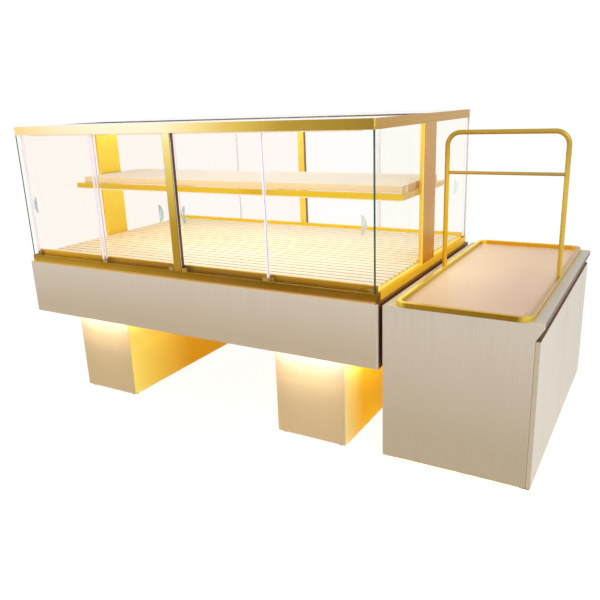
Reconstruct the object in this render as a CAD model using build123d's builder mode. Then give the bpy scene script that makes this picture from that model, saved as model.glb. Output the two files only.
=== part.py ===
from build123d import *
import os

os.makedirs("parts", exist_ok=True)

# Bakery showcase on two pedestals, with a tray counter standing beside it.
# Sizes are in millimetres. X runs along the set, Y from the customer's side to the staff side,
# Z up from the floor, and the origin is the middle of the set's footprint on the floor.

# Base box and its pedestals
depth = 1240.0
base_length = 2000.0
base_bottom = 450.0
base_top = 720.0
board = 18.0
base_bevel = 7.0
pedestal_length = 350.0
pedestal_end_inset = 200.0
pedestal_setback = 105.0
pedestal_bevel = 2.0
foot_height = 10.0
foot_radius = 18.0
foot_sides = 16
foot_inset = 30.0
stem_radius = 5.0
stem_sides = 12
stem_height = 55.0
stem_clearance = 0.3
bore_sides = 24
corner_block = 42.0
corner_block_height = 90.0

# Glass case
case_inset_x = 13.0
case_inset_y = 15.0
case_top = 1411.0
bottom_rail_height = 35.0
top_rail_height = 40.0
top_rail_width = 45.0
rail_bevel = 6.0
lip = 3.0
track_floor = 25.0
door_glass = 6.0
lip_to_door = 2.0
door_plane_spacing = 16.0
track_rib_width = 5.0
track_rib_height = 7.0
kerb_gap = 3.0
kerb_width = 15.0
kerb_height = 60.0
kerb_ease = 1.5
end_glass_thickness = 8.0
top_glass_thickness = 6.0
glass_clearance = 0.3
end_flange = 1.7
end_rail_width = 30.0
groove_depth = 10.0
door_channel_depth = 15.0
door_channel_clearance = 1.0
door_top_clearance = 3.0
top_rebate_inset = 12.0
post_thickness = 20.0
post_width = 155.0
post_wall = 2.0
post_groove = 8.0
mullion_width = 40.0
mullion_wall = 2.0

# Sliding doors: each bay has an end door on the inner track and a middle door on the outer one
left_meeting = 470.0
right_meeting = 488.0
door_overlap = 12.0
door_side_gap = 2.0
door_end_gap = 5.0
door_lift = 5.0
pull_height = 78.0
pull_width = 22.0
pull_thickness = 7.0
pull_base = 2.5
pull_blade = 4.0
pull_end_inset = 40.0
pull_centre_height = 1018.0
shoe_width = 26.0
shoe_height = 26.0
shoe_wall = 1.3
shoe_lift = 0.3
shoe_end_inset = 3.0

# Slatted decks and the hanging shelf
slat_pitch = 46.5
slat_gap = 8.0
slat_thickness = 12.0
deck_top = 763.0
deck_clearance = 1.0
deck_end_clearance = 2.0
batten_width = 30.0
batten_count = 4
shelf_depth = 534.0
shelf_tube = 25.0
shelf_bottom = 1068.0
shelf_cross_tubes = 2
shelf_deck_inset_x = 22.0
shelf_deck_inset_y = 40.0
shelf_deck_height = 30.0

# Light strips, driver and cable gland
strip_width = 10.0
strip_height = 6.0
strip_offset = 20.0
strip_edge = 5.0
driver_length = 220.0
driver_width = 60.0
driver_height = 34.0
driver_offset = 60.0
gland_offset = 80.0
gland_bore = 5.0
gland_body_radius = 10.0
gland_nut_radius = 14.0
gland_nut_height = 5.0
gland_nut_sides = 6
gland_cap_height = 8.0
gland_cap_radius = 9.0
gland_sides = 24

# Tray counter
side_gap = 20.0
counter_length = 590.0
counter_bottom = 80.0
counter_top = 720.0
door_board = 16.0
carcass_gap = 3.0
worktop_thickness = 18.0
grip_height = 41.0
grip_run = 24.0
grip_rail_width = 24.0
leaf_gap = 3.0
leaf_edge_gap = 2.0
pivot_radius = 3.0
pivot_clearance = 0.05
pivot_inset_x = 6.0
pivot_inset_y = 6.0
pivot_length = 15.0
pivot_bore_extra = 1.0
pivot_plate = 3.0
pivot_plate_arm = 22.0
pivot_plate_width = 12.0
pivot_plate_clearance = 0.5
pivot_gap = 0.5
plinth_left_inset = 10.0
plinth_right_inset = 85.0
plinth_setback = 105.0

# Tray rim, tray plate and hanging arch
rim_bar = 20.0
rim_ease = 2.0
rim_left_inset = 40.0
rim_end_inset = 2.0
rim_corner = 50.0
plate_thickness = 2.0
plate_clearance = 0.3
arch_tube_radius = 10.0
arch_joint = 1240.0
arch_top = 1329.0
arch_bend_radius = 55.0
arch_offset = -18.0
crossbar_radius = 7.0
crossbar_height = 1160.0
weld_gap = 0.1
collar_radius = 10.8
collar_height = 12.0

# Limits that follow from the driving sizes
set_length = base_length + side_gap + counter_length
left = -set_length / 2
base_right = left + base_length
base_middle = left + base_length / 2
counter_left = base_right + side_gap
counter_right = counter_left + counter_length
front = -depth / 2
rear = depth / 2

case_left = left + case_inset_x
case_right = base_right - case_inset_x
case_front = front + case_inset_y
case_rear = -case_front
outer_door = case_front + lip + lip_to_door + door_glass / 2
inner_door = outer_door + door_plane_spacing
kerb_face = inner_door + door_glass / 2 + kerb_gap
kerb_back = kerb_face + kerb_width
rail_top = base_top + bottom_rail_height
track_level = base_top + track_floor
top_rail_bottom = case_top - top_rail_height
groove_outer = case_left + end_flange
groove_inner = groove_outer + end_glass_thickness + 2 * glass_clearance
post_inner = case_left + post_thickness


def block(x, y, z, mode=Mode.ADD):
    """A rectangular block between the pairs of limits x, y and z."""
    with Locations(((x[0] + x[1]) / 2, (y[0] + y[1]) / 2, (z[0] + z[1]) / 2)):
        Box(x[1] - x[0], y[1] - y[0], z[1] - z[0], mode=mode)


def prism(plane, points, amount, mode=Mode.ADD):
    """Extrudes the closed outline through the points, which lie on the plane."""
    with BuildSketch(plane) as outline:
        Polygon(*points, align=None)
    extrude(outline.sketch, amount=amount, mode=mode)


def finish(builder, name):
    """Names a finished piece and writes its file."""
    builder.part.label = name
    export_step(builder.part, f"parts/{name}.step")


def mitred_side(x, y, width, bevel, side):
    """Plan of one side of a rectangular frame, with mitred and bevelled corners."""
    (x0, x1), (y0, y1) = x, y
    half = bevel / 2
    if side in ("front", "rear"):
        plan = [
            (x0 + bevel, y0),
            (x1 - bevel, y0),
            (x1 - half, y0 + half),
            (x1 - width, y0 + width),
            (x0 + width, y0 + width),
            (x0 + half, y0 + half),
        ]
    else:
        plan = [
            (x0, y0 + bevel),
            (x0 + half, y0 + half),
            (x0 + width, y0 + width),
            (x0 + width, y1 - width),
            (x0 + half, y1 - half),
            (x0, y1 - bevel),
        ]
    if side == "rear":
        plan = [(px, y0 + y1 - py) for px, py in plan]
    if side == "right":
        plan = [(x0 + x1 - px, py) for px, py in plan]
    return plan


def mitred_board(x, y, z, width, bevel, side):
    """One upright board of a box with mitred corners."""
    prism(Plane.XY.offset(z[0]), mitred_side(x, y, width, bevel, side), z[1] - z[0])


def corner_points(x, y, inset):
    """The four points inset from the corners of a rectangle."""
    return [
        (px, py)
        for px in (x[0] + inset, x[1] - inset)
        for py in (y[0] + inset, y[1] - inset)
    ]


def plinth_box(x, y, z):
    """Four mitred boards with a glued block in each corner, bored for the foot's stem."""
    for side in ("front", "rear", "left", "right"):
        mitred_board(x, y, z, board, pedestal_bevel, side)
    block_height = min(corner_block_height, z[1] - z[0])
    with BuildSketch(Plane.XY.offset(z[0])) as blocks:
        with Locations(*corner_points(x, y, board + corner_block / 2)):
            Rectangle(corner_block, corner_block)
        with Locations(*corner_points(x, y, foot_inset)):
            RegularPolygon(stem_radius + stem_clearance, bore_sides, mode=Mode.SUBTRACT)
    extrude(blocks.sketch, amount=block_height)


# Base box: four outer panels, with the top and bottom panels held between them
base_x = (left, base_right)
base_y = (front, rear)
base_z = (base_bottom, base_top)

with BuildPart() as base_front_panel:
    mitred_board(base_x, base_y, base_z, board, base_bevel, "front")
finish(base_front_panel, "base_front_panel")

with BuildPart() as base_rear_panel:
    mitred_board(base_x, base_y, base_z, board, base_bevel, "rear")
finish(base_rear_panel, "base_rear_panel")

with BuildPart() as base_end_panels:
    mitred_board(base_x, base_y, base_z, board, base_bevel, "left")
    mitred_board(base_x, base_y, base_z, board, base_bevel, "right")
finish(base_end_panels, "base_end_panels")

# The mains gland sits beside the left pedestal, towards the staff side
inside_x = (left + board, base_right - board)
inside_y = (front + board, rear - board)
left_pedestal_x = (left + pedestal_end_inset, left + pedestal_end_inset + pedestal_length)
right_pedestal_x = (base_right - pedestal_end_inset - pedestal_length, base_right - pedestal_end_inset)
pedestal_y = (front + pedestal_setback, rear - pedestal_setback)
gland_x = left_pedestal_x[1] + gland_offset
gland_y = pedestal_y[1] - gland_offset
gland_hole = gland_body_radius + stem_clearance

with BuildPart() as base_bottom_panel:
    block(inside_x, inside_y, (base_bottom, base_bottom + board))
    with Locations((gland_x, gland_y, base_bottom + board)):
        Hole(gland_hole, depth=board)
finish(base_bottom_panel, "base_bottom_panel")

with BuildPart() as base_top_panel:
    block(inside_x, inside_y, (base_top - board, base_top))
finish(base_top_panel, "base_top_panel")

# Pedestals
pedestal_z = (foot_height, base_bottom)

with BuildPart() as left_pedestal:
    plinth_box(left_pedestal_x, pedestal_y, pedestal_z)
finish(left_pedestal, "left_pedestal")

with BuildPart() as right_pedestal:
    plinth_box(right_pedestal_x, pedestal_y, pedestal_z)
finish(right_pedestal, "right_pedestal")

# Levelling feet: a faceted pad, turned by hand, on a stem that runs up into the corner block.
# The pads, stems and bores repeat twelve times, so each is a polygon of few sides.
plinth_x = (counter_left + plinth_left_inset, counter_right - plinth_right_inset)
plinth_y = (front + plinth_setback, rear - plinth_setback)
foot_places = (
    corner_points(left_pedestal_x, pedestal_y, foot_inset)
    + corner_points(right_pedestal_x, pedestal_y, foot_inset)
    + corner_points(plinth_x, plinth_y, foot_inset)
)

with BuildPart() as levelling_feet:
    for radius, sides, low, high in (
        (foot_radius, foot_sides, 0, foot_height),
        (stem_radius, stem_sides, foot_height, foot_height + stem_height),
    ):
        with BuildSketch(Plane.XY.offset(low)):
            with Locations(*foot_places):
                RegularPolygon(radius, sides)
        extrude(amount=high - low)
finish(levelling_feet, "levelling_feet")

# Bottom rails of the case. The front and rear rails are one profile: an outer lip, two door
# tracks with a rib between them, and a kerb that closes off the deck.
rib_middle = (outer_door + inner_door) / 2
rib_low = rib_middle - track_rib_width / 2
rib_high = rib_middle + track_rib_width / 2
rib_top = track_level + track_rib_height
kerb_top = base_top + kerb_height


with BuildPart() as bottom_rail_front:
    rail_profile = [
        (case_front, base_top),
        (case_front, rail_top),
        (case_front + lip, rail_top),
        (case_front + lip, track_level),
        (rib_low, track_level),
        (rib_low, rib_top),
        (rib_high, rib_top),
        (rib_high, track_level),
        (kerb_face, track_level),
        (kerb_face, kerb_top - kerb_ease),
        (kerb_face + kerb_ease, kerb_top),
        (kerb_back - kerb_ease, kerb_top),
        (kerb_back, kerb_top - kerb_ease),
        (kerb_back, base_top),
    ]
    prism(Plane.YZ.offset(case_left), rail_profile, case_right - case_left)
    for turn in (1, -1):
        end, groove, flange = (
            base_middle + turn * (px - base_middle) for px in (case_left, groove_inner, groove_outer)
        )
        behind_lip = (case_front + lip, kerb_back)
        block(sorted((end, groove)), behind_lip, (track_level, kerb_top), mode=Mode.SUBTRACT)
        block(sorted((end, flange)), behind_lip, (track_level, rail_top))
finish(bottom_rail_front, "bottom_rail_front")

with BuildPart() as bottom_rail_rear:
    mirror(bottom_rail_front.part, about=Plane.XZ)
finish(bottom_rail_rear, "bottom_rail_rear")

# End rails run between the long rails and hold the end glass in a groove
end_profile = [
    (case_left, base_top),
    (case_left, rail_top),
    (groove_outer, rail_top),
    (groove_outer, track_level),
    (groove_inner, track_level),
    (groove_inner, rail_top),
    (case_left + end_rail_width, rail_top),
    (case_left + end_rail_width, base_top),
]

with BuildPart() as bottom_end_rails:
    prism(Plane.XZ.offset(kerb_back), end_profile, -2 * kerb_back)
    mirror(about=Plane.YZ.offset(base_middle))
finish(bottom_end_rails, "bottom_end_rails")

# Top rails: one mitred frame with door channels below and a rebate for the glass above
case_x = (case_left, case_right)
case_y = (case_front, case_rear)
case_rail_z = (top_rail_bottom, case_top)
rebate_level = case_top - top_glass_thickness
rebate_x = (case_left + top_rebate_inset, case_right - top_rebate_inset)
rebate_y = (case_front + top_rebate_inset, case_rear - top_rebate_inset)
channel_half = door_glass / 2 + door_channel_clearance


def top_rail(side):
    """One side of the top frame, with the glass grooves and door channels that meet at its corners."""
    mitred_board(case_x, case_y, case_rail_z, top_rail_width, rail_bevel, side)
    block(rebate_x, rebate_y, (rebate_level, case_top), mode=Mode.SUBTRACT)
    groove_y = (case_front + lip, case_rear - lip)
    groove_z = (top_rail_bottom, top_rail_bottom + groove_depth)
    channel_x = (groove_inner, 2 * base_middle - groove_inner)
    channel_z = (top_rail_bottom, top_rail_bottom + door_channel_depth)
    for turn in (1, -1):
        groove_x = sorted(base_middle + turn * (px - base_middle) for px in (groove_outer, groove_inner))
        block(groove_x, groove_y, groove_z, mode=Mode.SUBTRACT)
        for plane_y in (outer_door, inner_door):
            channel_y = (turn * plane_y - channel_half, turn * plane_y + channel_half)
            block(channel_x, channel_y, channel_z, mode=Mode.SUBTRACT)


with BuildPart() as top_rail_front:
    top_rail("front")
finish(top_rail_front, "top_rail_front")

with BuildPart() as top_rail_rear:
    top_rail("rear")
finish(top_rail_rear, "top_rail_rear")

with BuildPart() as top_end_rails:
    top_rail("left")
    mirror(about=Plane.YZ.offset(base_middle))
finish(top_end_rails, "top_end_rails")

# End posts: hollow box posts, grooved on both edges for the end glass
post_half = post_width / 2
post_seat = post_half - post_groove
post_z = (rail_top, top_rail_bottom)
post_plan = [
    (case_left, -post_half),
    (groove_outer, -post_half),
    (groove_outer, -post_seat),
    (groove_inner, -post_seat),
    (groove_inner, -post_half),
    (post_inner, -post_half),
    (post_inner, post_half),
    (groove_inner, post_half),
    (groove_inner, post_seat),
    (groove_outer, post_seat),
    (groove_outer, post_half),
    (case_left, post_half),
]

with BuildPart() as end_post_left:
    prism(Plane.XY.offset(post_z[0]), post_plan, post_z[1] - post_z[0])
    cavity_x = (case_left + post_wall, post_inner - post_wall)
    cavity_y = (-post_seat + post_wall, post_seat - post_wall)
    block(cavity_x, cavity_y, post_z, mode=Mode.SUBTRACT)
finish(end_post_left, "end_post_left")

with BuildPart() as end_post_right:
    mirror(end_post_left.part, about=Plane.YZ.offset(base_middle))
finish(end_post_right, "end_post_right")

# Mullions: hollow uprights that stand on the track rib, in front of the kerb
mullion_x = (base_middle - mullion_width / 2, base_middle + mullion_width / 2)
mullion_y = (outer_door - door_glass / 2, kerb_face - glass_clearance)
mullion_z = (rib_top, top_rail_bottom)

with BuildPart() as front_mullion:
    block(mullion_x, mullion_y, mullion_z)
    hollow_x = (mullion_x[0] + mullion_wall, mullion_x[1] - mullion_wall)
    hollow_y = (mullion_y[0] + mullion_wall, mullion_y[1] - mullion_wall)
    block(hollow_x, hollow_y, mullion_z, mode=Mode.SUBTRACT)
finish(front_mullion, "front_mullion")

with BuildPart() as rear_mullion:
    mirror(front_mullion.part, about=Plane.XZ)
finish(rear_mullion, "rear_mullion")

# Fixed glass: two panes at each end, held in the rails and the post, and the top pane
glass_face = groove_inner - glass_clearance
pane_x = (groove_outer + glass_clearance, glass_face)
pane_y = (case_front + lip + glass_clearance, -post_seat - glass_clearance)
pane_z = (track_level, top_rail_bottom + groove_depth - glass_clearance)

with BuildPart() as end_glass_left:
    block(pane_x, pane_y, pane_z)
    mirror(about=Plane.XZ)
finish(end_glass_left, "end_glass_left")

with BuildPart() as end_glass_right:
    mirror(end_glass_left.part, about=Plane.YZ.offset(base_middle))
finish(end_glass_right, "end_glass_right")

with BuildPart() as top_glass:
    block(
        (rebate_x[0] + glass_clearance, rebate_x[1] - glass_clearance),
        (rebate_y[0] + glass_clearance, rebate_y[1] - glass_clearance),
        (rebate_level, case_top),
    )
finish(top_glass, "top_glass")

# Sliding doors and their clear fittings: a stuck-on pull and a roller shoe at each lower corner
door_z = (track_level + door_lift, top_rail_bottom + door_channel_depth - door_top_clearance)
left_meet = base_middle - left_meeting
right_meet = base_middle + right_meeting
first_x = glass_face + door_end_gap
last_x = 2 * base_middle - first_x
half_overlap = door_overlap / 2

# Name of the place, plane of the door, its limits along X, and the end that carries the pull
door_places = [
    ("left_end", inner_door, first_x, left_meet + half_overlap, -1),
    ("left_middle", outer_door, left_meet - half_overlap, mullion_x[0] - door_side_gap, 1),
    ("right_middle", outer_door, mullion_x[1] + door_side_gap, right_meet + half_overlap, -1),
    ("right_end", inner_door, right_meet - half_overlap, last_x, 1),
]

for place, plane_y, door_low, door_high, pull_end in door_places:
    face_y = plane_y - door_glass / 2
    door_y = (face_y, face_y + door_glass)

    with BuildPart() as front_door:
        block((door_low, door_high), door_y, door_z)
    finish(front_door, f"front_door_{place}")

    with BuildPart() as rear_door:
        mirror(front_door.part, about=Plane.XZ)
    finish(rear_door, f"rear_door_{place}")

    grip_x = (door_high if pull_end > 0 else door_low) - pull_end * pull_end_inset
    back_x = grip_x - pull_end * pull_width / 2
    bulge_x = grip_x + pull_end * pull_width / 2
    pull_low = pull_centre_height - pull_height / 2
    pull_high = pull_centre_height + pull_height / 2
    shoe_y = (door_y[0] - shoe_wall, door_y[1] + shoe_wall)
    shoe_z = (track_level + shoe_lift, track_level + shoe_lift + shoe_height)
    shoe_starts = (door_low + shoe_end_inset, door_high - shoe_end_inset - shoe_width)

    with BuildPart() as front_fittings:
        with BuildSketch(Plane.XZ.offset(-face_y)):
            with BuildLine():
                Line((back_x, pull_low), (back_x, pull_high))
                ThreePointArc((back_x, pull_high), (bulge_x, pull_centre_height), (back_x, pull_low))
            make_face()
        extrude(amount=pull_base)
        blade_x = sorted((back_x, back_x + pull_end * pull_blade))
        block(blade_x, (face_y - pull_thickness, face_y), (pull_low, pull_high))
        for shoe_start in shoe_starts:
            block((shoe_start, shoe_start + shoe_width), shoe_y, shoe_z)
        block((door_low, door_high), door_y, door_z, mode=Mode.SUBTRACT)
    finish(front_fittings, f"front_fittings_{place}")

    with BuildPart() as rear_fittings:
        mirror(front_fittings.part, about=Plane.XZ)
    finish(rear_fittings, f"rear_fittings_{place}")


def slats(x, y, z):
    """Slats along X that fill the depth between the limits y; gives their pitch and width."""
    span = y[1] - y[0] + slat_gap
    count = max(1, round(span / slat_pitch))
    pitch = span / count
    with Locations(((x[0] + x[1]) / 2, (y[0] + y[1]) / 2, (z[0] + z[1]) / 2)):
        with GridLocations(0, pitch, 1, count):
            Box(x[1] - x[0], pitch - slat_gap, z[1] - z[0])
    return pitch - slat_gap


def battens(x, y, z):
    """Cross battens, evenly spaced along X, that carry the slats."""
    step = (x[1] - x[0] - batten_width) / (batten_count - 1)
    with Locations(((x[0] + x[1]) / 2, (y[0] + y[1]) / 2, (z[0] + z[1]) / 2)):
        with GridLocations(step, 0, batten_count, 1):
            Box(batten_width, y[1] - y[0], z[1] - z[0])


# Lower slatted deck, lying on the base between the kerbs and the end rails
deck_end = case_left + end_rail_width + deck_end_clearance
deck_x = (deck_end, 2 * base_middle - deck_end)
deck_y = (kerb_back + deck_clearance, -kerb_back - deck_clearance)
slat_bottom = deck_top - slat_thickness

with BuildPart() as lower_deck:
    slats(deck_x, deck_y, (slat_bottom, deck_top))
    battens(deck_x, deck_y, (base_top, slat_bottom))
finish(lower_deck, "lower_deck")

# Hanging shelf: a tube frame between the end posts, with a slatted deck on it
shelf_x = (post_inner, 2 * base_middle - post_inner)
shelf_y = (-shelf_depth / 2, shelf_depth / 2)
shelf_z = (shelf_bottom, shelf_bottom + shelf_tube)
field_count = shelf_cross_tubes + 1
field_length = (shelf_x[1] - shelf_x[0] - (field_count + 1) * shelf_tube) / field_count

with BuildPart() as shelf_frame:
    block(shelf_x, shelf_y, shelf_z)
    for field in range(field_count):
        field_start = shelf_x[0] + shelf_tube + field * (field_length + shelf_tube)
        field_y = (shelf_y[0] + shelf_tube, shelf_y[1] - shelf_tube)
        block((field_start, field_start + field_length), field_y, shelf_z, mode=Mode.SUBTRACT)
finish(shelf_frame, "shelf_frame")

shelf_deck_x = (shelf_x[0] + shelf_deck_inset_x, shelf_x[1] - shelf_deck_inset_x)
shelf_deck_y = (shelf_y[0] + shelf_deck_inset_y, shelf_y[1] - shelf_deck_inset_y)
shelf_deck_top = shelf_z[1] + shelf_deck_height
shelf_slat_bottom = shelf_deck_top - slat_thickness

with BuildPart() as shelf_deck:
    edge_board = slats(shelf_deck_x, shelf_deck_y, (shelf_slat_bottom, shelf_deck_top))
    battens(shelf_deck_x, shelf_deck_y, (shelf_z[1], shelf_slat_bottom))
    for edge_y in (shelf_deck_y[0], shelf_deck_y[1] - edge_board):
        block(shelf_deck_x, (edge_y, edge_y + edge_board), (shelf_z[1], shelf_slat_bottom))
finish(shelf_deck, "shelf_deck")

# Light strips inside the case: behind the door channels, and under the long tubes of the shelf
rail_inner = case_front + top_rail_width
lamp_end = case_left + top_rail_width + strip_offset
lamp_x = (lamp_end, 2 * base_middle - lamp_end)
lamp_y = (rail_inner - strip_edge - strip_width, rail_inner - strip_edge)
shelf_lamp_x = (shelf_x[0] + strip_offset, shelf_x[1] - strip_offset)
shelf_lamp_middle = shelf_y[0] + shelf_tube / 2
shelf_lamp_y = (shelf_lamp_middle - strip_width / 2, shelf_lamp_middle + strip_width / 2)

with BuildPart() as case_led_strips:
    block(lamp_x, lamp_y, (top_rail_bottom - strip_height, top_rail_bottom))
    block(shelf_lamp_x, shelf_lamp_y, (shelf_bottom - strip_height, shelf_bottom))
    mirror(about=Plane.XZ)
finish(case_led_strips, "case_led_strips")


def strip_ring(x, y, top, sides):
    """Light strips under a panel, along the named sides of the plinth below it."""
    far = strip_offset + strip_width
    z = (top - strip_height, top)
    if "front" in sides:
        block(x, (y[0] - far, y[0] - strip_offset), z)
    if "rear" in sides:
        block(x, (y[1] + strip_offset, y[1] + far), z)
    if "left" in sides:
        block((x[0] - far, x[0] - strip_offset), y, z)
    if "right" in sides:
        block((x[1] + strip_offset, x[1] + far), y, z)


with BuildPart() as base_led_strips:
    strip_ring(left_pedestal_x, pedestal_y, base_bottom, ("front", "rear", "left", "right"))
    strip_ring(right_pedestal_x, pedestal_y, base_bottom, ("front", "rear", "left", "right"))
    strip_ring(plinth_x, plinth_y, counter_bottom, ("front", "rear", "right"))
finish(base_led_strips, "base_led_strips")

# Driver for the light strips, inside the base box beside the gland
driver_x = (gland_x + driver_offset, gland_x + driver_offset + driver_length)
driver_y = (gland_y - driver_width / 2, gland_y + driver_width / 2)
driver_base = base_bottom + board

with BuildPart() as led_driver:
    block(driver_x, driver_y, (driver_base, driver_base + driver_height))
finish(led_driver, "led_driver")

# Cable gland through the base's bottom panel: a cap and nut below, a threaded body, a locknut above
gland_top = base_bottom + board + gland_nut_height
gland_nut_low = base_bottom - gland_nut_height
gland_low = gland_nut_low - gland_cap_height

with BuildPart() as cable_gland:
    for radius, sides, low, high in (
        (gland_cap_radius, gland_sides, gland_low, gland_nut_low),
        (gland_nut_radius, gland_nut_sides, gland_nut_low, base_bottom),
        (gland_body_radius, gland_sides, base_bottom, base_bottom + board),
        (gland_nut_radius, gland_nut_sides, base_bottom + board, gland_top),
    ):
        with BuildSketch(Plane.XY.offset(low)):
            with Locations((gland_x, gland_y)):
                RegularPolygon(radius, sides)
        extrude(amount=high - low)
    with Locations((gland_x, gland_y, gland_top)):
        Hole(gland_bore, depth=gland_top - gland_low)
finish(cable_gland, "cable_gland")

# Tray counter: its right-hand edge is a grip rail that slants back to the doors below it
worktop_bottom = counter_top - worktop_thickness
grip_bottom = worktop_bottom - grip_height
door_inner = counter_right - grip_run
carcass_right = door_inner - carcass_gap
plate_level = grip_bottom - pivot_plate
slant_back = pivot_plate * grip_run / grip_height
grip_back = door_inner - grip_rail_width
counter_inside_x = (counter_left + board, carcass_right)
counter_inside_y = (front + board, rear - board)

with BuildPart() as counter_front_panel:
    panel_outline = [
        (counter_left, counter_bottom),
        (carcass_right, counter_bottom),
        (carcass_right, plate_level),
        (door_inner - slant_back, plate_level),
        (counter_right, worktop_bottom),
        (counter_right, counter_top),
        (counter_left, counter_top),
    ]
    prism(Plane.XZ.offset(-(front + board)), panel_outline, board)
finish(counter_front_panel, "counter_front_panel")

with BuildPart() as counter_rear_panel:
    mirror(counter_front_panel.part, about=Plane.XZ)
finish(counter_rear_panel, "counter_rear_panel")

with BuildPart() as counter_left_panel:
    block((counter_left, counter_inside_x[0]), counter_inside_y, (counter_bottom, counter_top))
finish(counter_left_panel, "counter_left_panel")

with BuildPart() as counter_bottom_panel:
    block(counter_inside_x, counter_inside_y, (counter_bottom, counter_bottom + board))
finish(counter_bottom_panel, "counter_bottom_panel")

with BuildPart() as counter_divider:
    divider_z = (counter_bottom + board, worktop_bottom)
    block((counter_inside_x[0], grip_back), (-board / 2, board / 2), divider_z)
finish(counter_divider, "counter_divider")

with BuildPart() as counter_worktop:
    worktop_outline = [
        (counter_inside_x[0], counter_top),
        (counter_right, counter_top),
        (counter_right, worktop_bottom),
        (door_inner, grip_bottom),
        (grip_back, grip_bottom),
        (grip_back, worktop_bottom),
        (counter_inside_x[0], worktop_bottom),
    ]
    prism(Plane.XZ.offset(-counter_inside_y[1]), worktop_outline, counter_inside_y[1] - counter_inside_y[0])
finish(counter_worktop, "counter_worktop")

with BuildPart() as counter_plinth:
    plinth_box(plinth_x, plinth_y, (foot_height, counter_bottom))
finish(counter_plinth, "counter_plinth")

# Counter doors: two leaves that hang on pins at the outer corners of the carcass
leaf_x = (door_inner, door_inner + door_board)
leaf_y = (front + leaf_edge_gap, -leaf_gap / 2)
leaf_z = (counter_bottom + pivot_gap, plate_level - pivot_gap)
pin_x = door_inner + pivot_inset_x
pin_y = leaf_y[0] + pivot_inset_y
bore_radius = pivot_radius + pivot_clearance
bore_depth = pivot_length + pivot_bore_extra

with BuildPart() as counter_door_front:
    block(leaf_x, leaf_y, leaf_z)
    for bore_z in (leaf_z[0] + bore_depth / 2, leaf_z[1] - bore_depth / 2):
        with Locations((pin_x, pin_y, bore_z)):
            Cylinder(bore_radius, bore_depth, mode=Mode.SUBTRACT)
finish(counter_door_front, "counter_door_front")

with BuildPart() as counter_door_rear:
    mirror(counter_door_front.part, about=Plane.XZ)
finish(counter_door_rear, "counter_door_rear")

plate_end = pin_x + pivot_plate_width / 2
plate_y = (pin_y - pivot_plate_width / 2, counter_inside_y[0] + pivot_plate_width)
plate_start = door_inner - pivot_plate_arm
pin_reach = pivot_gap + pivot_length

with BuildPart() as counter_door_pivots:
    block((plate_start, plate_end), plate_y, (counter_bottom - pivot_plate, counter_bottom))
    with Locations((pin_x, pin_y, counter_bottom + pin_reach / 2)):
        Cylinder(pivot_radius, pin_reach)
    top_plate_z = (plate_level, grip_bottom)
    block((door_inner + pivot_plate_clearance, plate_end), plate_y, top_plate_z)
    block((plate_start, plate_end), (counter_inside_y[0], plate_y[1]), top_plate_z)
    with Locations((pin_x, pin_y, top_plate_z[0] - pin_reach / 2)):
        Cylinder(pivot_radius, pin_reach)
    mirror(about=Plane.XZ)
finish(counter_door_pivots, "counter_door_pivots")

# Tray rim: one bent bar on the worktop, with the tray plate lying inside it
rim_x = (counter_left + rim_left_inset, counter_right - rim_left_inset)
rim_middle = (rim_x[0] + rim_x[1]) / 2
rim_length = rim_x[1] - rim_x[0]
rim_depth = depth - 2 * rim_end_inset
rim_top = counter_top + rim_bar

with BuildPart() as tray_rim:
    with BuildSketch(Plane.XY.offset(counter_top)):
        with Locations((rim_middle, 0)):
            RectangleRounded(rim_length, rim_depth, rim_corner)
            RectangleRounded(
                rim_length - 2 * rim_bar,
                rim_depth - 2 * rim_bar,
                rim_corner - rim_bar,
                mode=Mode.SUBTRACT,
            )
    extrude(amount=rim_bar)
    chamfer(tray_rim.faces().sort_by(Axis.Z)[-1].edges(), rim_ease)
finish(tray_rim, "tray_rim")

with BuildPart() as tray_plate:
    with BuildSketch(Plane.XY.offset(counter_top)):
        with Locations((rim_middle, 0)):
            plate_inset = rim_bar + plate_clearance
            RectangleRounded(
                rim_length - 2 * plate_inset,
                rim_depth - 2 * plate_inset,
                rim_corner - plate_inset,
            )
    extrude(amount=plate_thickness)
finish(tray_plate, "tray_plate")

# Arch: two legs on the rim, a bent top that plugs onto them, a collar at each joint, a crossbar
leg_places = [(rim_x[0] + rim_bar / 2, arch_offset), (rim_x[1] - rim_bar / 2, arch_offset)]
(leg_left, leg_y), (leg_right, leg_y) = leg_places

with BuildPart() as arch_legs:
    with BuildSketch(Plane.XY.offset(rim_top)):
        with Locations(*leg_places):
            Circle(arch_tube_radius)
    extrude(amount=arch_joint - rim_top)
finish(arch_legs, "arch_legs")

with BuildPart() as arch_bend:
    with BuildLine(Plane.XZ.offset(-leg_y)) as bend_path:
        FilletPolyline(
            (leg_left, arch_joint),
            (leg_left, arch_top),
            (leg_right, arch_top),
            (leg_right, arch_joint),
            radius=arch_bend_radius,
        )
    with BuildSketch(Plane(origin=(leg_left, leg_y, arch_joint), z_dir=(0, 0, 1))):
        Circle(arch_tube_radius)
    sweep(path=bend_path.wire())
finish(arch_bend, "arch_bend")

with BuildPart() as arch_collars:
    with BuildSketch(Plane.XY.offset(arch_joint - collar_height / 2)):
        with Locations(*leg_places):
            Circle(collar_radius)
            Circle(arch_tube_radius + weld_gap, mode=Mode.SUBTRACT)
    extrude(amount=collar_height)
finish(arch_collars, "arch_collars")

with BuildPart() as arch_crossbar:
    with BuildSketch(Plane.YZ.offset(leg_left)):
        with Locations((leg_y, crossbar_height)):
            Circle(crossbar_radius)
    extrude(amount=leg_right - leg_left)
    for leg_x in (leg_left, leg_right):
        with Locations((leg_x, leg_y, crossbar_height)):
            Cylinder(arch_tube_radius + weld_gap, 4 * crossbar_radius, mode=Mode.SUBTRACT)
finish(arch_crossbar, "arch_crossbar")
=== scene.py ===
import math

import bmesh
import bpy
from mathutils import Matrix, Vector


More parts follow.
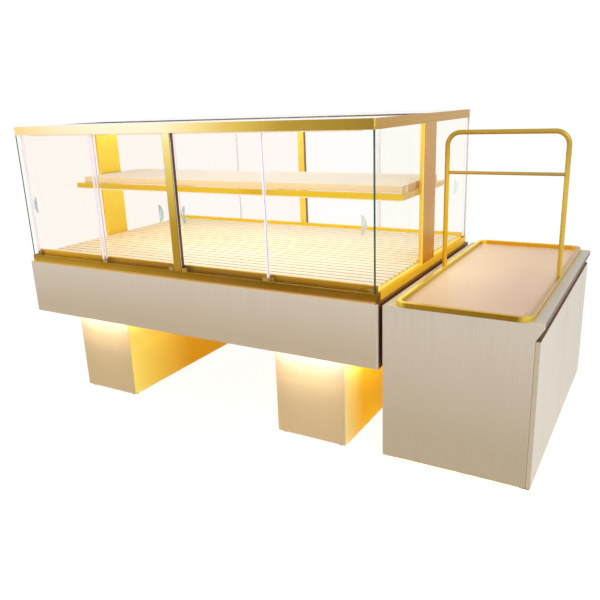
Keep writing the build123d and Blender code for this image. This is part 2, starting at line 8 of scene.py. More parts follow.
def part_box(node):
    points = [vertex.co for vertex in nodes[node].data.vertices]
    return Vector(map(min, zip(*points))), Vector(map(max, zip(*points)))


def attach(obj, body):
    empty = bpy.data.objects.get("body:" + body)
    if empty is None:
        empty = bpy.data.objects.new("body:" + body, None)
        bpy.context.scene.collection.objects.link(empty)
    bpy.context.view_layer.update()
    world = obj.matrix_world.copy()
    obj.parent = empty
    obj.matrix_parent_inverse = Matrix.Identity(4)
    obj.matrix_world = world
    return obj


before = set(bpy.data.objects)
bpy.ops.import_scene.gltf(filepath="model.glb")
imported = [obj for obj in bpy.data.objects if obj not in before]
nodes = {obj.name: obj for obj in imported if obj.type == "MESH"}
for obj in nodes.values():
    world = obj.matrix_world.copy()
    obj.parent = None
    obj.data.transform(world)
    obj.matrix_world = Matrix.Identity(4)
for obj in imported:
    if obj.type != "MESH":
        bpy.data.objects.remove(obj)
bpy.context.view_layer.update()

X, Y, Z = 0, 1, 2

# Places on the set, read from the frame, in metres. -Y is the customer's side, +Y the staff side
BASE_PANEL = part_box("base_front_panel")
BASE_LEFT, BASE_FRONT, BASE_TOP = BASE_PANEL[0].x, BASE_PANEL[0].y, BASE_PANEL[1].z
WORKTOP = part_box("counter_worktop")
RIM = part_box("tray_rim")
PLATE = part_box("tray_plate")
CASE_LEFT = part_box("top_rail_front")[0].x
CASE_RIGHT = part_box("top_rail_front")[1].x
CASE_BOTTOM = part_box("bottom_rail_front")[0].z
CASE_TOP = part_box("top_rail_front")[1].z
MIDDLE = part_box("front_mullion")[0].x


def colour(r, g, b):
    """Linear colour of a display colour given as 0 to 255."""
    def linear(v):
        v /= 255
        return v / 12.92 if v <= 0.04045 else ((v + 0.055) / 1.055) ** 2.4
    return (linear(r), linear(g), linear(b), 1.0)


WHITE = (1, 1, 1, 1)

# How far a normal leans towards an axis where a face begins to count as square to it, and where it
# does in full
SQUARE_ON = (0.55, 0.8)
# The part of its range that a noise texture really fills
NOISE_RANGE = (0.3, 0.7)


class Graph:
    """The node tree of a material or the world, with short ways to add and join its nodes."""

    def __init__(self, owner, output="OutputMaterial"):
        self.owner = owner
        owner.use_nodes = True
        self.nodes = owner.node_tree.nodes
        self.links = owner.node_tree.links
        self.nodes.clear()
        self.output = self.nodes.new("ShaderNode" + output)
        self.coordinates = None

    def put(self, socket, value):
        """Links a socket's value, or sets a plain one."""
        if hasattr(value, "is_output"):
            self.links.new(value, socket)
        else:
            socket.default_value = value

    def add(self, kind, settings=None, **inputs):
        """Adds a node. The inputs are named as on the node, with _ for a space."""
        node = self.nodes.new("ShaderNode" + kind)
        for key, value in (settings or {}).items():
            setattr(node, key, value)
        for key, value in inputs.items():
            self.put(node.inputs[key.replace("_", " ")], value)
        return node

    def math(self, operation, a, b=0.0, clamp=False):
        node = self.add("Math", {"operation": operation, "use_clamp": clamp})
        self.put(node.inputs[0], a)
        self.put(node.inputs[1], b)
        return node.outputs[0]

    def product(self, first, *others):
        """The product of two or more factors."""
        for other in others:
            first = self.math("MULTIPLY", first, other)
        return first

    def inverse(self, factor):
        """1 less the factor."""
        return self.math("SUBTRACT", 1.0, factor)

    def mix(self, factor, a, b, blend="MIX"):
        """Mixes two colours."""
        node = self.add("Mix", {"data_type": "RGBA", "blend_type": blend})
        self.put(node.inputs[0], factor)
        self.put(node.inputs[6], a)
        self.put(node.inputs[7], b)
        return node.outputs[2]

    def layer(self, factor, first, second):
        """Mixes two shaders."""
        node = self.add("MixShader")
        self.put(node.inputs[0], factor)
        self.put(node.inputs[1], first.outputs[0])
        self.put(node.inputs[2], second.outputs[0])
        return node

    def coordinate(self, kind):
        """An output of the tree's one Texture Coordinate node."""
        if self.coordinates is None:
            self.coordinates = self.add("TexCoord")
        return self.coordinates.outputs[kind]

    def noise(self, scale, detail=3.0, roughness=0.55):
        """Noise on the object's own coordinates, stretched by three scales."""
        mapping = self.add("Mapping", Vector=self.coordinate("Object"), Scale=scale)
        return self.add(
            "TexNoise", Vector=mapping.outputs[0], Scale=1.0, Detail=detail, Roughness=roughness
        ).outputs[0]

    def axis(self, kind, index):
        return self.add("SeparateXYZ", Vector=self.coordinate(kind)).outputs[index]

    def ranged(self, value, start, end, low=0.0, high=1.0):
        """Carries a value's range start to end over to low to high, and holds it there."""
        return self.add(
            "MapRange", {"clamp": True},
            Value=value, From_Min=start, From_Max=end, To_Min=low, To_Max=high,
        ).outputs[0]

    def spread(self, noise, low, high):
        """Rescales a noise to the range low to high."""
        return self.ranged(noise, *NOISE_RANGE, low, high)

    def along(self, index, start, end):
        """0 to 1 between two places along one axis of the object."""
        return self.ranged(self.axis("Object", index), start, end)

    def facing(self, index, sign):
        """1 on faces that look along one axis, 0 on the others."""
        return self.ranged(self.product(self.axis("Normal", index), sign), *SQUARE_ON)

    def leaning(self, index):
        """How far a face leans to one axis, either way."""
        return self.math("ABSOLUTE", self.axis("Normal", index))

    def across(self, index):
        """1 on both faces square to one axis."""
        return self.ranged(self.leaning(index), *SQUARE_ON)

    def slant(self, first, second, strength):
        """0 on faces square to either of two axes, rising to faces halfway between them."""
        both = self.product(self.leaning(first), self.leaning(second))
        return self.math("MULTIPLY", both, strength, clamp=True)

    def stops(self, factor, places):
        """A colour ramp through (place, colour) pairs."""
        node = self.add("ValToRGB", Fac=factor)
        elements = node.color_ramp.elements
        for element, (place, tone) in zip(elements, (places[0], places[-1])):
            element.position = place
            element.color = tone
        for place, tone in places[1:-1]:
            elements.new(place).color = tone
        return node.outputs[0]

    def bump(self, height, strength, distance):
        return self.add("Bump", Height=height, Strength=strength, Distance=distance).outputs[0]

    def seen(self):
        """1 for what the camera, a reflection or glass shows, 0 for the light on the object."""
        path = self.add("LightPath")
        seen = self.math("MAXIMUM", path.outputs["Is Camera Ray"], path.outputs["Is Glossy Ray"])
        return self.math("MAXIMUM", seen, path.outputs["Is Transmission Ray"])

    def finish(self, shader):
        self.links.new(shader.outputs[0], self.output.inputs[0])
        return self.owner


def new_look(name):
    return Graph(bpy.data.materials.new(name))


# Scales of the grain and the brushing, across it and along it
FINE_GRAIN = (380, 7)
BROAD_GRAIN = (46, 1.3)
BRUSHING = (420, 3)


def grain_scale(axis, cross, along):
    """Scales of a noise that is drawn out along one axis."""
    return tuple(along if index == axis else cross for index in range(3))


def faces(g, other, front=None, rear=None, right=None, left=None, up=None, down=None):
    """Colour by the way a face looks: painted light and shade by the faces' direction."""
    tone = other
    for part, index, sign in (
        (up, Z, 1), (down, Z, -1), (front, Y, -1), (rear, Y, 1), (right, X, 1), (left, X, -1),
    ):
        if part is not None:
            tone = g.mix(g.facing(index, sign), tone, part)
    return tone


# Laminates
CREAM = colour(224, 211, 192)
BEIGE = colour(210, 195, 174)
TAUPE = colour(194, 177, 148)
# Painted highlight on bevelled edges, and painted shade on faces in the gaps between pieces
BEVEL_HIGHLIGHT = colour(230, 217, 198)
GAP_SHADE = colour(128, 80, 36)
GROOVE_SHADE = colour(112, 84, 58)

# Painted light and shade on the pedestals: what their tones are multiplied with below the strips,
# and
# the heights between which that comes in: on the fronts, on a side towards the front, and towards
# the back
STRIP_FADE, STRIP_BAND = (1.0, 0.62, 0.86, 1.0), (0.28, 0.37)
HOT_FADE, HOT_BAND = (0.82, 0.66, 0.95, 1.0), (0.26, 0.43)
BACK_FADE, BACK_BAND = (0.68, 0.6, 0.56, 1.0), (0.27, 0.38)
# Strengths of painted glow, which is no lamp: the right pedestal's sides, the counter's joint edge
PEDESTAL_GLOW = 0.12
GAP_GLOW = 0.5


def laminate(
    name, light, dark, grain, foot=None, details=None, bevelled=True, lit=None, specular=0.5
):
    """Wood-grain laminate: fine grain along one axis, soft cathedral streaks and a satin face.

    foot is (tone, start, end), painted shade: the tone that the board takes on from one height to
    another.
    details(g, tone) adds painted light and shade for one piece, and lit(g, shader) a painted glow.
    """
    g = new_look(name)
    fine = g.noise(grain_scale(grain, *FINE_GRAIN), 4.0, 0.7)
    broad = g.noise(grain_scale(grain, *BROAD_GRAIN))
    cloud = g.noise((1.4, 1.4, 1.4), 2.0)
    tone = g.mix(g.spread(fine, 0.15, 0.85), dark, light)
    tone = g.mix(g.spread(broad, 0.0, 0.35), tone, dark)
    tone = g.mix(g.spread(cloud, 0.0, 0.25), tone, light)
    if foot is not None:
        foot_tone, start, end = foot
        tone = g.mix(g.along(Z, start, end), tone, foot_tone)
    if details is not None:
        tone = details(g, tone)
    # Painted highlight on the bevelled edges
    if bevelled:
        tone = g.mix(g.slant(X, Y, 1.7), tone, BEVEL_HIGHLIGHT)
    shader = g.add(
        "BsdfPrincipled",
        Base_Color=tone,
        Roughness=g.spread(broad, 0.42, 0.58),
        Specular_IOR_Level=specular,
        Normal=g.bump(fine, 0.22, 0.0006),
    )
    if lit is not None:
        lit(g, shader)
    return g.finish(shader)


def base_details(g, tone):
    """Painted warm highlight on the upper edge, painted shade on the end against the counter."""
    top_edge = g.along(Z, BASE_TOP - 0.009, BASE_TOP - 0.001)
    tone = g.mix(g.product(top_edge, 0.75), tone, colour(236, 206, 146))
    at_end = g.along(X, CASE_RIGHT, CASE_RIGHT + 0.002)
    gap_faces = g.math("MAXIMUM", g.facing(Z, 1), g.facing(X, 1))
    return g.mix(g.product(at_end, gap_faces), tone, GAP_SHADE)


def counter_details(g, tone):
    """Painted shade on the side that stands against the base, and on the groove's slope."""
    at_side = g.along(X, WORKTOP[0].x + 0.004, WORKTOP[0].x + 0.002)
    tone = g.mix(g.product(at_side, g.facing(X, -1)), tone, GAP_SHADE)
    return g.mix(g.slant(X, Z, 2.4), tone, GROOVE_SHADE)


def counter_light(g, shader):
    """Painted light: a glow on the panel edge in the joint beside the door, lest it be lost in
    shadow.
    """
    g.put(shader.inputs["Emission Color"], colour(180, 168, 150))
    g.put(shader.inputs["Emission Strength"], g.product(g.facing(X, 1), GAP_GLOW))


def leaf_details(g, tone):
    """Painted shade: upright edges a shade deeper, and a dark top edge in the grip groove."""
    tone = g.mix(g.across(Y), tone, colour(204, 188, 162))
    return g.mix(g.facing(Z, 1), tone, GROOVE_SHADE)


def worktop_details(g, tone):
    """Painted light, warm on the strip beside the case and cool grey over the grip groove."""
    up = g.facing(Z, 1)
    beside = g.inverse(g.along(X, RIM[0].x - 0.002, RIM[0].x + 0.01))
    warm = g.mix(g.along(Y, BASE_FRONT, -0.35), colour(248, 226, 176), colour(255, 226, 120))
    tone = g.mix(g.product(beside, up, 0.9), tone, warm)
    over_groove = g.along(X, RIM[1].x - 0.01, RIM[1].x + 0.002)
    tone = g.mix(g.product(over_groove, up, 0.85), tone, colour(196, 190, 178))
    # Painted shade on the side in the gap beside the case, and in the grip groove
    tone = g.mix(g.facing(X, -1), tone, GAP_SHADE)
    groove = g.product(g.facing(X, 1), g.along(Z, WORKTOP[0].z, WORKTOP[1].z - 0.008))
    return g.mix(groove, tone, GROOVE_SHADE)


def on_right_pedestal(g):
    """0 on the left pedestal, 1 on the right one."""
    return g.along(X, BASE_LEFT + 0.8, BASE_LEFT + 1.2)


def from_front(g, start, end):
    """0 to 1 between two distances behind the base's front face."""
    return g.along(Y, BASE_FRONT + start, BASE_FRONT + end)


def pedestal_details(g, tone):
    """Painted light and shade: the sides catch more of the warm strips, more so to the staff side.
    """
    right = on_right_pedestal(g)
    back = g.mix(right, from_front(g, 0.1, 0.6), from_front(g, 0.1, 0.3))
    near_tone = g.mix(right, colour(255, 244, 138), colour(255, 250, 200))
    far_tone = g.mix(right, colour(222, 174, 34), colour(255, 212, 42))
    side = g.mix(back, near_tone, far_tone)
    # Painted hot spot and shadow on the sides, and a painted tint on the faces under the strips
    hot = g.product(g.along(Z, *HOT_BAND), from_front(g, 0.5, 0.2))
    side = g.mix(hot, side, HOT_FADE, "MULTIPLY")
    upper_back = g.product(g.along(Z, *BACK_BAND), from_front(g, 0.12, 0.3), g.inverse(right))
    side = g.mix(upper_back, side, BACK_FADE, "MULTIPLY")
    near_strip = g.product(g.along(Z, *STRIP_BAND), g.across(Y), g.math("MAXIMUM", right, 0.7))
    tone = g.mix(near_strip, tone, STRIP_FADE, "MULTIPLY")
    return g.mix(g.product(g.across(X), 0.98), tone, side)


def pedestal_light(g, shader):
    """Painted glow, no lamp: the sides of the right pedestal, near its strips, glow."""
    level = g.product(on_right_pedestal(g), g.across(X), PEDESTAL_GLOW)
    g.put(shader.inputs["Emission Color"], colour(255, 188, 0))
    g.put(shader.inputs["Emission Strength"], level)


# The base and the counter darken towards the floor: painted shade
base_laminate = laminate(
    "base_laminate", colour(229, 216, 200), colour(216, 200, 180), Z,
    foot=(colour(202, 183, 154), 0.74, 0.5), details=base_details,
)
counter_laminate = laminate(
    "counter_laminate", CREAM, BEIGE, Z,
    foot=(TAUPE, 0.66, 0.2), details=counter_details, lit=counter_light,
)
# The doors are a lighter copy of the counter's laminate: painted light on their brighter side
door_laminate = laminate(
    "door_laminate", colour(238, 229, 214), colour(222, 210, 192), Z, details=leaf_details
)
# The plinth is a paler, warmer copy of the laminate: painted light from the strips over it
plinth_laminate = laminate(
    "plinth_laminate", colour(252, 242, 208), colour(246, 232, 190), Z, bevelled=False
)
worktop_laminate = laminate("worktop_laminate", CREAM, BEIGE, Y, details=worktop_details)
pedestal_laminate = laminate(
    "pedestal_laminate", colour(207, 185, 146), colour(199, 176, 136), Z,
    details=pedestal_details, bevelled=False, lit=pedestal_light, specular=0.06,
)
inner_laminate = laminate("inner_laminate", colour(232, 222, 204), colour(214, 200, 178), X)
under_deck = laminate("under_deck", colour(190, 152, 88), colour(174, 136, 76), X)


# Gold-coloured metal: one look for each run of it, each with its own painted light and shade
PALE_GOLD = colour(255, 232, 170)
BRUSH_SHADE = (0.62, 0.58, 0.5, 1.0)


def gold(name, grain, tones, metallic=0.9, rough=(0.24, 0.4), specular=0.5, lit=0.0):
    """Brushed gold-coloured metal. tones(g) gives its colour, with painted light and shade,
    and it is brushed along one axis. lit is the strength of a painted glow.
    """
    g = new_look(name)
    brushed = g.noise(grain_scale(grain, *BRUSHING), 3.0, 0.7)
    wear = g.noise((9, 9, 9), 4.0)
    tone = tones(g)
    tone = g.mix(g.spread(brushed, 0.0, 0.20), tone, BRUSH_SHADE, "MULTIPLY")
    tone = g.mix(g.spread(wear, 0.0, 0.04), tone, PALE_GOLD)
    shader = g.add(
        "BsdfPrincipled",
        Base_Color=tone,
        Metallic=metallic,
        Specular_IOR_Level=specular,
        Emission_Color=tone,
        Emission_Strength=lit,
        Roughness=g.spread(brushed, *rough),
        Normal=g.bump(brushed, 0.12, 0.0003),
    )
    return g.finish(shader)


def top_front_tones(g):
    """Top rail: painted reflection, pale over the lit left half, duller towards the right."""
    face = g.stops(g.along(X, CASE_LEFT, CASE_RIGHT), [
        (0.0, colour(238, 211, 140)),
        (0.15, colour(247, 226, 184)),
        (0.3, colour(251, 234, 202)),
        (0.48, colour(252, 236, 200)),
        (0.58, colour(242, 218, 144)),
        (0.68, colour(226, 192, 90)),
        (0.8, colour(188, 152, 52)),
        (1.0, colour(160, 126, 38)),
    ])
    return faces(
        g, colour(222, 190, 110),
        front=face, right=colour(236, 213, 110), up=colour(226, 208, 160),
    )


# End top rails: painted shade, darker on their upright sides
def top_side_tones(g):
    face = colour(193, 147, 58)
    return faces(g, colour(236, 196, 100), right=face, left=face, up=colour(222, 204, 160))


def lip_tones(g):
    """Bottom rail at the front: painted light and shade on the outer lip, with a painted
    highlight on its low edge, and on the kerb behind it.
    """
    rightward = g.along(X, CASE_LEFT + 0.4, CASE_LEFT + 1.4)
    height = g.along(Z, CASE_BOTTOM, CASE_BOTTOM + 0.03)
    left_lip = g.mix(height, colour(196, 156, 44), colour(166, 124, 14))
    right_lip = g.mix(height, colour(150, 104, 4), colour(124, 84, 1))
    lip = g.mix(rightward, left_lip, right_lip)
    low_edge = g.mix(rightward, colour(232, 190, 88), colour(204, 152, 66))
    lip = g.mix(g.along(Z, CASE_BOTTOM + 0.008, CASE_BOTTOM + 0.002), lip, low_edge)
    kerb = g.stops(g.along(X, CASE_LEFT, CASE_RIGHT), [
        (0.0, colour(224, 177, 8)),
        (0.15, colour(216, 170, 8)),
        (0.32, colour(182, 140, 6)),
        (0.6, colour(164, 120, 4)),
        (1.0, colour(184, 138, 4)),
    ])
    front = g.mix(from_front(g, 0.019, 0.04), lip, kerb)
    return faces(
        g, colour(206, 160, 20),
        front=front, right=colour(156, 116, 16), up=colour(222, 178, 36),
    )


# Rear bottom rail: painted light and shade by the way each face looks
def kerb_rear_tones(g):
    return faces(
        g, colour(250, 206, 60),
        front=colour(250, 214, 34), rear=colour(196, 152, 36), up=colour(248, 208, 60),
    )


# End bottom rails: painted light and shade by the way each face looks
def end_rail_tones(g):
    return faces(
        g, colour(252, 220, 70),
        right=colour(242, 190, 30), left=colour(240, 186, 40), up=colour(254, 222, 90),
    )


def post_tones(g):
    """End posts: painted light and shade, bright, and duller on the face that looks out to the
    counter.
    """
    inner = colour(252, 226, 80)
    outer = g.stops(g.along(Z, CASE_BOTTOM, CASE_TOP), [
        (0.0, colour(226, 163, 2)),
        (0.22, colour(206, 146, 10)),
        (0.5, colour(196, 136, 58)),
        (1.0, colour(201, 156, 71)),
    ])
    outside = g.along(X, CASE_RIGHT + 0.001, CASE_RIGHT + 0.0025)
    return faces(g, colour(250, 216, 84), right=g.mix(outside, inner, outer), left=inner)


def mullion_tones(g):
    """Front mullion: painted light, brighter towards the light strip over it; painted shaded sides.
    """
    face = g.stops(g.along(Z, CASE_BOTTOM, CASE_TOP), [
        (0.0, colour(166, 124, 8)),
        (0.35, colour(182, 142, 22)),
        (0.65, colour(228, 196, 88)),
        (0.85, colour(244, 220, 130)),
        (1.0, colour(252, 244, 200)),
    ])
    return faces(
        g, colour(226, 178, 60),
        front=face, right=colour(84, 56, 30), left=colour(150, 112, 40),
    )


# Rear mullion: painted shade on its right side
def rear_mullion_tones(g):
    return faces(
        g, colour(254, 222, 90), front=colour(255, 226, 96), right=colour(150, 110, 60)
    )


# Shelf frame: painted light and shade by the way each face looks, paler to the right
def shelf_tones(g):
    rightward = g.along(X, CASE_LEFT + 0.2, CASE_LEFT + 1.0)
    front = g.mix(rightward, colour(226, 189, 44), colour(240, 199, 38))
    return faces(
        g, colour(236, 196, 70),
        front=front, right=colour(224, 196, 136),
        up=colour(250, 224, 130), down=colour(206, 160, 44),
    )


def across_tray(g):
    """0 to 1 between the tray rim's left and right bars."""
    return g.along(X, RIM[0].x + 0.1, RIM[1].x - 0.1)


def rim_tones(g):
    """Tray rim: painted light and shade, deep gold in front, greyer to the right, and painted
    highlights on the rounded corners.
    """
    rightward = g.along(X, RIM[0].x, RIM[1].x)
    up = g.stops(rightward, [
        (0.0, colour(255, 234, 70)),
        (0.25, colour(236, 194, 44)),
        (0.85, colour(206, 166, 72)),
        (0.97, colour(186, 150, 100)),
        (1.0, colour(186, 150, 100)),
    ])
    front = g.mix(rightward, colour(158, 118, 6), colour(128, 92, 2))
    front = g.mix(g.along(Y, 0.0, 0.3), front, colour(238, 182, 18))
    right = g.mix(across_tray(g), colour(206, 176, 40), colour(226, 190, 100))
    tone = faces(
        g, colour(226, 176, 50), front=front, up=up, right=right, left=colour(248, 206, 60)
    )
    return g.mix(g.slant(X, Y, 1.6), tone, colour(255, 226, 80))


def arch_tones(g):
    """Arch: painted light and shade; the left leg deep gold, the right one paler, the top bar
    duller.
    """
    legs = g.mix(across_tray(g), colour(236, 190, 34), colour(216, 184, 76))
    high = g.along(Z, CASE_BOTTOM + 0.4, CASE_BOTTOM + 0.58)
    return g.mix(high, legs, colour(188, 154, 56))


# Crossbar: painted shade, duller towards the right
def crossbar_tones(g):
    return g.mix(g.along(X, RIM[0].x, RIM[1].x), colour(206, 170, 62), colour(180, 152, 84))


TUBE_ROUGHNESS = (0.3, 0.46)

gold_top_front = gold("gold_top_front", X, top_front_tones)
gold_top_side = gold("gold_top_side", Y, top_side_tones)
gold_lip = gold("gold_lip", X, lip_tones, metallic=0.5, specular=0.05)
gold_kerb_rear = gold("gold_kerb_rear", X, kerb_rear_tones, metallic=0.5, specular=0.1)
# The end rails also glow a little: painted light
gold_end_rail = gold(
    "gold_end_rail", Y, end_rail_tones, metallic=0.2, rough=(0.36, 0.5), specular=0.1, lit=0.27
)
gold_post = gold("gold_post", Z, post_tones, metallic=1.0)
gold_mullion = gold("gold_mullion", Z, mullion_tones)
gold_rear_mullion = gold("gold_rear_mullion", Z, rear_mullion_tones)
gold_shelf = gold("gold_shelf", X, shelf_tones)
gold_rim = gold("gold_rim", Y, rim_tones)
gold_arch = gold("gold_arch", Z, arch_tones, rough=TUBE_ROUGHNESS)
gold_crossbar = gold("gold_crossbar", X, crossbar_tones, rough=TUBE_ROUGHNESS)


# Glass
GLASS_IOR = 1.45
# The end panes' edges this near the middle of the set stand in the end posts' grooves
POST_REACH = 0.3
# The lid mirrors little but at a glancing view, and then its reflection is painted dark
# in a ribbon between two places
GLANCE = (0.9, 0.96)
LID_SHINE = 0.35
GLANCE_TONE = colour(96, 88, 92)
RIBBON_FRONT = (-0.36, -0.26)
RIBBON_REAR = (0.02, -0.06)


def glass(
    name, broad_axis, tint, edge, edge_alpha, shine_level, held=None, is_lid=False, right_tint=None
):
    """Flat glass: clear and faintly tinted across its faces, coloured at its cut edges.

    held is the tone of edges in the posts' grooves, which glow with it as painted light,
    right_tint the tint right of the mullion.
    """
    g = new_look(name)
    if right_tint is not None:
        tint = g.mix(g.along(X, MIDDLE - 0.01, MIDDLE + 0.01), tint, right_tint)
    shine_tone = WHITE
    if is_lid:
        glance = g.ranged(g.add("LayerWeight", Blend=0.5).outputs["Facing"], *GLANCE)
        ribbon = g.product(g.along(Y, *RIBBON_FRONT), g.along(Y, *RIBBON_REAR))
        shine_tone = g.mix(g.product(ribbon, glance), WHITE, GLANCE_TONE)
        shine_level = g.ranged(glance, 0.0, 1.0, LID_SHINE, shine_level)
    smear = g.noise((5, 5, 2.2), 4.0)
    clear = g.add("BsdfTransparent", Color=tint)
    shine = g.add("BsdfGlossy", Color=shine_tone, Roughness=g.spread(smear, 0.0, 0.05))
    fresnel = g.add("Fresnel", IOR=GLASS_IOR).outputs[0]
    inside = g.add("NewGeometry").outputs["Backfacing"]
    outward = g.math("SUBTRACT", shine_level, inside, clamp=True)
    pane = g.layer(g.math("MULTIPLY", fresnel, outward, clamp=True), clear, shine)

    streaks = g.spread(g.noise((60, 60, 4), 2.0), 0.0, 0.12)
    rim_tone = g.mix(streaks, edge, colour(210, 235, 220))
    rim_light = 0.0
    if held is not None:
        at_rear = g.along(Y, POST_REACH, POST_REACH + 0.01)
        rim_tone = g.mix(at_rear, rim_tone, colour(226, 214, 226))
        in_post = g.math("LESS_THAN", g.math("ABSOLUTE", g.axis("Object", Y)), POST_REACH)
        rim_tone = g.mix(in_post, rim_tone, held)
        # Painted light: the edges in the posts' grooves glow, to fill their shade
        rim_light = g.product(in_post, 0.6)
    rim = g.add(
        "BsdfPrincipled",
        Base_Color=rim_tone,
        Roughness=0.3,
        Specular_IOR_Level=0.08,
        Emission_Color=rim_tone,
        Emission_Strength=rim_light,
    )
    cut_edge = g.layer(edge_alpha, g.add("BsdfTransparent", Color=(0.9, 0.95, 0.93, 1)), rim)
    return g.finish(g.layer(g.across(broad_axis), cut_edge, pane))


door_glass = glass(
    "door_glass", Y, (1.0, 0.974, 0.959, 1), colour(238, 234, 238), 0.6, 0.3,
    right_tint=(1.0, 0.994, 0.988, 1),
)
end_glass = glass(
    "end_glass", X, (0.99, 0.985, 0.96, 1), colour(18, 64, 46), 0.97, 0.18,
    held=colour(250, 214, 110),
)
lid_glass = glass(
    "lid_glass", Z, (0.995, 0.995, 0.995, 1), colour(96, 110, 104), 0.9, 1.0, is_lid=True
)


# Plastics
SHOE_TOP = CASE_BOTTOM + 0.1


def fittings_look():
    """Finger pulls and roller shoes: clear moulded plastic with soft swirls and dark ends."""
    g = new_look("clear_plastic")
    swirl = g.noise((70, 70, 25))
    tone = g.mix(g.spread(swirl, 0.0, 0.7), colour(216, 234, 232), colour(96, 142, 146))
    at_right = g.along(X, CASE_RIGHT - 0.4, CASE_RIGHT - 0.2)
    tone = g.mix(g.product(at_right, 0.9), tone, colour(255, 250, 234))
    tone = g.mix(g.across(Z), tone, colour(70, 80, 78))
    shoe = g.along(Z, SHOE_TOP, SHOE_TOP - 0.01)
    tone = g.mix(shoe, tone, colour(192, 150, 44))
    cover = g.math("MAXIMUM", g.spread(swirl, 0.35, 0.75), g.across(Z))
    staff_side = g.product(g.along(Y, 0.0, 0.1), 0.88)
    cover = g.product(cover, g.inverse(staff_side))
    cover = g.math("MAXIMUM", cover, g.product(shoe, 0.85))
    clear = g.add("BsdfTransparent", Color=(0.93, 0.98, 0.98, 1))
    body = g.add(
        "BsdfPrincipled", Base_Color=tone, Roughness=0.15, Normal=g.bump(swirl, 0.1, 0.0005)
    )
    return g.finish(g.layer(cover, clear, body))


def seal_look():
    """Milky clear strip with soft swirls, denser and greyer along its back, and a painted glow."""
    g = new_look("seal_plastic")
    back = g.across(X)
    swirl = g.noise((60, 60, 3))
    tone = g.mix(g.spread(swirl, 0.0, 1.0), colour(250, 246, 252), colour(232, 226, 236))
    tone = g.mix(back, tone, colour(152, 152, 168))
    clear = g.add("BsdfTransparent", Color=(1, 0.99, 0.99, 1))
    body = g.add(
        "BsdfPrincipled",
        Base_Color=tone,
        Roughness=0.25,
        Normal=g.bump(swirl, 0.1, 0.0005),
        Emission_Color=(1.0, 0.97, 0.99, 1),
        Emission_Strength=0.3,
    )
    cover = g.ranged(back, 0.0, 1.0, 0.55, 0.85)
    return g.finish(g.layer(cover, clear, body))


def painted(name, tone, dark, scale, rough, metallic=0.0):
    """Moulded, coated or plated surface with a fine texture."""
    g = new_look(name)
    grain = g.noise(scale, 4.0, 0.65)
    wear = g.noise((22, 22, 22))
    base = g.mix(g.spread(grain, 0.0, 1.0), dark, tone)
    base = g.mix(g.spread(wear, 0.0, 0.25), base, tone)
    shader = g.add(
        "BsdfPrincipled",
        Base_Color=base,
        Metallic=metallic,
        Roughness=g.spread(grain, rough - 0.06, rough + 0.08),
        Normal=g.bump(grain, 0.15, 0.0004),
    )
    return g.finish(shader)


def lamp_strip(name, glow, strength, housing):
    """Light strip: a housing with a frosted cover below, a little brighter over each diode."""
    g = new_look(name)
    wave = g.add(
        "TexWave", {"bands_direction": "X"},
        Vector=g.coordinate("Object"), Scale=9.0, Distortion=0.0,
    ).outputs[1]
    level = g.ranged(wave, 0.0, 1.0, strength * 0.85, strength * 1.1)
    grain = g.noise((40, 40, 400))
    cover = g.mix(g.spread(grain, 0.0, 0.3), housing, colour(255, 250, 236))
    downward = g.math("MAXIMUM", g.facing(Z, -1), 0.3)
    shader = g.add(
        "BsdfPrincipled",
        Base_Color=cover,
        Roughness=0.5,
        Emission_Color=glow,
        Emission_Strength=g.product(level, downward),
    )
    return g.finish(shader)


clear_plastic = fittings_look()
seal_plastic = seal_look()
black_plastic = painted(
    "black_plastic", colour(30, 28, 27), colour(16, 16, 16), (300, 300, 300), 0.6
)
driver_housing = painted(
    "driver_housing", colour(226, 226, 224), colour(206, 206, 204), (260, 260, 260), 0.45
)
# The door pivots are dark bronze, painted shade of the grip groove round them
steel = painted(
    "steel", colour(120, 96, 72), colour(88, 68, 50), (40, 400, 400), 0.4, metallic=0.8
)
screw_metal = painted(
    "screw_metal", colour(226, 188, 150), colour(196, 156, 112), (400, 400, 400), 0.36,
    metallic=0.8,
)
case_lamp = lamp_strip("case_lamp", colour(255, 226, 176), 1.2, colour(255, 248, 238))
base_lamp = lamp_strip("base_lamp", colour(255, 214, 150), 2.0, colour(250, 236, 200))


# Slatted decks
def slat_wood(name, light, dark, warm, side, finish):
    """Pale wood slats: grain along X, small tone changes from slat to slat, and darker sides,
    painted shade between the slats.

    finish(g, tone) adds what only one of the decks has.
    """
    g = new_look(name)
    fine = g.noise((9, 300, 300), 4.0, 0.7)
    slat = g.noise((0.6, 21.5, 1), 1.0)
    tone = g.mix(g.spread(fine, 0.0, 1.0), dark, light)
    tone = g.mix(g.spread(slat, 0.0, 0.3), tone, warm)
    tone = finish(g, g.mix(g.across(Y), tone, side))
    shader = g.add(
        "BsdfPrincipled",
        Base_Color=tone,
        Roughness=g.spread(fine, 0.45, 0.6),
        Normal=g.bump(fine, 0.25, 0.0005),
    )
    return g.finish(shader)


def left_shade(g, tone):
    """Lower deck: painted shade, darker and warmer towards its left end."""
    near_left = g.along(X, CASE_LEFT + 1.0, CASE_LEFT + 0.1)
    return g.mix(near_left, tone, (0.98, 0.93, 0.76, 1.0), "MULTIPLY")


def slat_ends(g, tone):
    """Shelf: end grain, browner on some slats than on others."""
    browner = g.spread(g.noise((1, 26, 1), 1.0), 0.0, 1.0)
    return g.mix(g.product(g.across(X), browner), tone, colour(222, 176, 124))


deck_wood = slat_wood(
    "deck_wood", colour(249, 243, 228), colour(242, 235, 214), colour(244, 234, 206),
    colour(220, 184, 118), left_shade,
)
shelf_wood = slat_wood(
    "shelf_wood", colour(255, 252, 243), colour(254, 248, 234), colour(255, 246, 222),
    colour(249, 229, 188), slat_ends,
)


